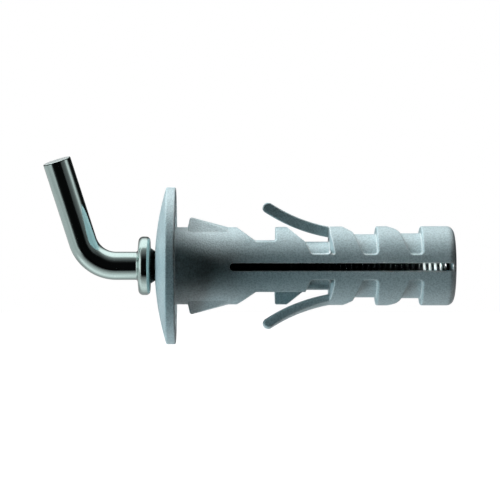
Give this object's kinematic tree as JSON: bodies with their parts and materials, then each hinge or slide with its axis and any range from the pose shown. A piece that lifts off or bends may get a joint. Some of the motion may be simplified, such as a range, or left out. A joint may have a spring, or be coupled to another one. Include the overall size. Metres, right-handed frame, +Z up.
{
  "type": "hook wall plug",
  "caption": "Moulded expansion plug with a domed rim, slit toothed body and sprung wings, holding a screwed-in angle hook with a collar, for hanging things on a wall.",
  "frame": {"origin": "centre of the rim's seat ring, on the plug's axis, in the plane of the wall's face", "axes": "+X along the plug into the wall, +Z up, the way the hook's arm points"},
  "size_m": [0.0516, 0.0198, 0.0238],
  "materials": {
    "nylon": "fine moulded texture, cool grey",
    "plated_steel": "bright plated"
  },
  "bodies": {
    "plug": {"wall_plug": "nylon"},
    "hook": {"screw_hook": "plated_steel"}
  },
  "joints": [
    {"name": "hook_turn", "type": "hinge", "parent": "plug", "child": "hook", "pos_m": [0, 0, 0], "axis": [1, 0, 0], "continuous": true}
  ]
}
